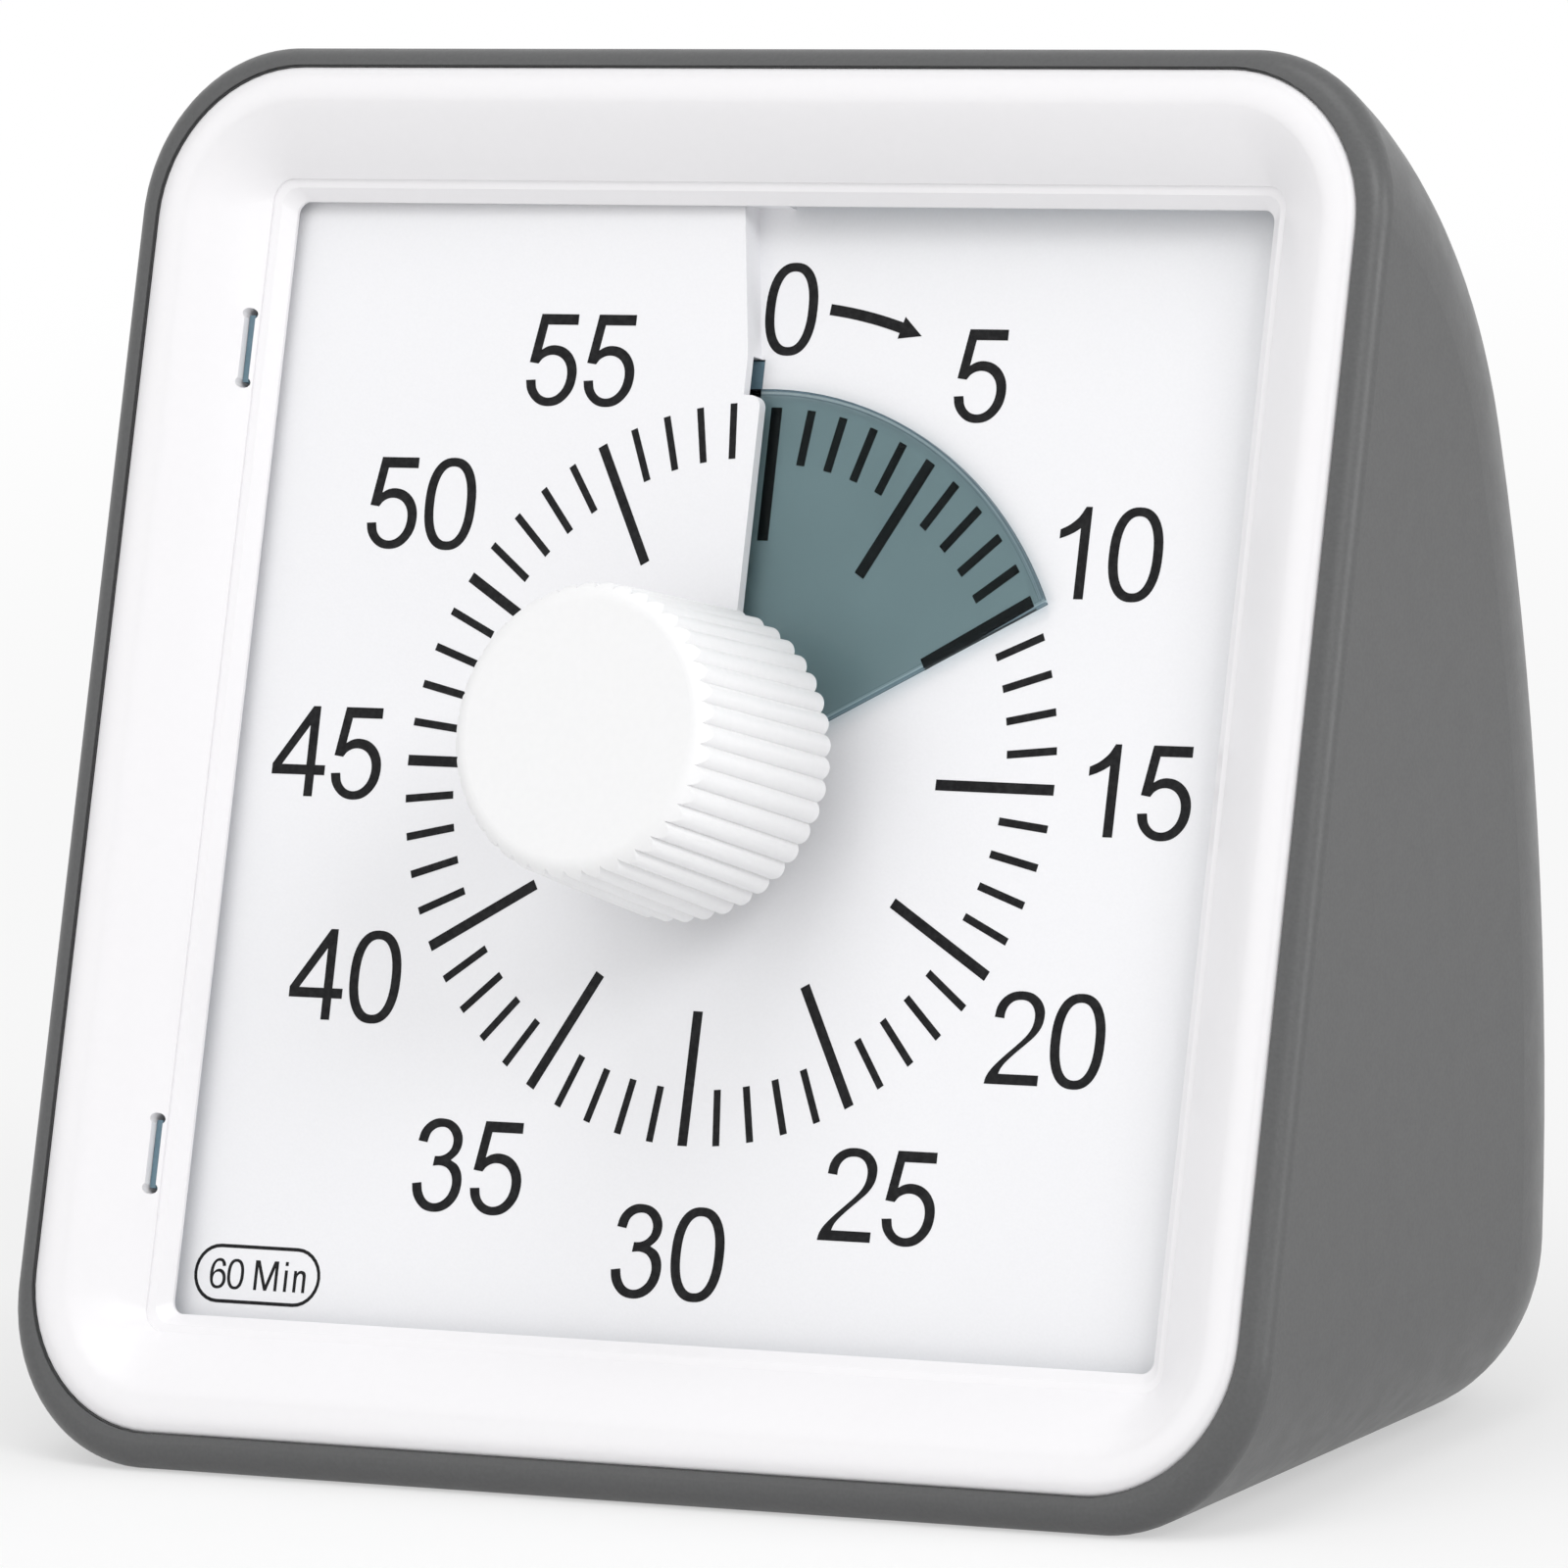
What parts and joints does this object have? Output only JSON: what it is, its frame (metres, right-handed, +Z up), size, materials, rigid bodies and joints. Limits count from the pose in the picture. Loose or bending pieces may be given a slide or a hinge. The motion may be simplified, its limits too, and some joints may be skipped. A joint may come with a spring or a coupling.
{
  "type": "visual countdown timer",
  "caption": "Countdown timer with a square tilted dial, a ribbed knob and a coloured disc that climbs out of a slit to show the minutes left.",
  "frame": {"origin": "middle of the flat base that the timer stands on", "axes": "+Z up; the dial faces -Y and leans back; +X is to the right of someone reading the dial"},
  "size_m": [0.0778, 0.0423, 0.0739],
  "materials": {
    "shell_grey": "satin moulded grey",
    "bezel_white": "smooth white",
    "dial_white": "smooth white, printed",
    "knob_white": "smooth white",
    "disc_blue_grey": "clear tinted film",
    "disc_hub_plastic": "moulded",
    "chassis_blue_grey": "moulded",
    "movement_plastic": "moulded black",
    "gear_plastic": "natural acetal",
    "magnet": "sintered",
    "soft_iron": "stamped",
    "copper_winding": "enamelled wire",
    "steel": "turned",
    "brass": "turned",
    "battery_sleeve": "satin sleeve",
    "switch_black": "moulded",
    "board_green": "solder mask",
    "chip_black": "moulded epoxy",
    "crystal_can": "drawn can",
    "buzzer_black": "moulded"
  },
  "bodies": {
    "housing": {"rear_shell": "shell_grey", "front_bezel": "bezel_white", "dial_plate": "dial_white", "chassis": "chassis_blue_grey", "chassis_screws": "steel", "spindle_bush": "brass", "movement_front_case": "movement_plastic", "movement_rear_case": "movement_plastic", "movement_screws": "steel", "stator": "soft_iron", "coil_core": "soft_iron", "coil": "copper_winding", "circuit_board": "board_green", "board_screws": "steel", "control_chip": "chip_black", "quartz_crystal": "crystal_can", "buzzer": "buzzer_black", "switch_housing": "switch_black", "battery": "battery_sleeve", "battery_contact_positive": "steel", "battery_contact_negative": "steel", "battery_spring": "steel"},
    "knob_and_spindle": {"knob": "knob_white", "spindle": "steel", "spindle_clip": "steel", "clutch_spring": "steel"},
    "disc_carriage": {"time_disc": "disc_blue_grey", "disc_hub": "disc_hub_plastic"},
    "door": {"battery_door": "shell_grey"},
    "alarm_slider": {"switch_slider": "switch_black"},
    "rotor": {"rotor_pinion": "gear_plastic", "rotor_magnet": "magnet"},
    "second_gear": {"second_wheel": "gear_plastic"},
    "third_gear": {"third_wheel": "gear_plastic"},
    "centre_gear": {"centre_wheel": "gear_plastic"}
  },
  "joints": [
    {"name": "knob_turn", "type": "hinge", "parent": "housing", "child": "knob_and_spindle", "pos_m": [0, 0.00227, 0.0361], "axis": [0, 0.9455, -0.3256], "range_deg": [-60, 300]},
    {"name": "disc_lift", "type": "slide", "parent": "knob_and_spindle", "child": "disc_carriage", "axis": [0, -0.9455, 0.3256], "range_m": [-0.00025, 0.00125]},
    {"name": "door_swing", "type": "hinge", "parent": "housing", "child": "door", "pos_m": [0, 0.02191, 0.0037], "axis": [-1, 0, 0], "range_deg": [0, 65]},
    {"name": "alarm_slide", "type": "slide", "parent": "housing", "child": "alarm_slider", "axis": [1, 0, 0], "range_m": [0, 0.003]},
    {"name": "rotor_spin", "type": "hinge", "parent": "housing", "child": "rotor", "pos_m": [-0.01111, 0.01236, 0.03777], "axis": [0, 0.9455, -0.3256], "continuous": true},
    {"name": "second_spin", "type": "hinge", "parent": "housing", "child": "second_gear", "pos_m": [-0.00406, 0.01315, 0.04252], "axis": [0, 0.9455, -0.3256], "continuous": true},
    {"name": "third_spin", "type": "hinge", "parent": "housing", "child": "third_gear", "pos_m": [0.0045, 0.01161, 0.04113], "axis": [0, 0.9455, -0.3256], "continuous": true},
    {"name": "centre_spin", "type": "hinge", "parent": "housing", "child": "centre_gear", "pos_m": [0, 0.00775, 0.03421], "axis": [0, 0.9455, -0.3256], "continuous": true}
  ],
  "couplings": [
    {"joint": "knob_turn", "follows": "disc_lift", "rad_per_m": 4188.8},
    {"joint": "second_spin", "follows": "rotor_spin", "ratio": -0.13333},
    {"joint": "third_spin", "follows": "rotor_spin", "ratio": 0.022222},
    {"joint": "centre_spin", "follows": "rotor_spin", "ratio": -0.0027778}
  ]
}
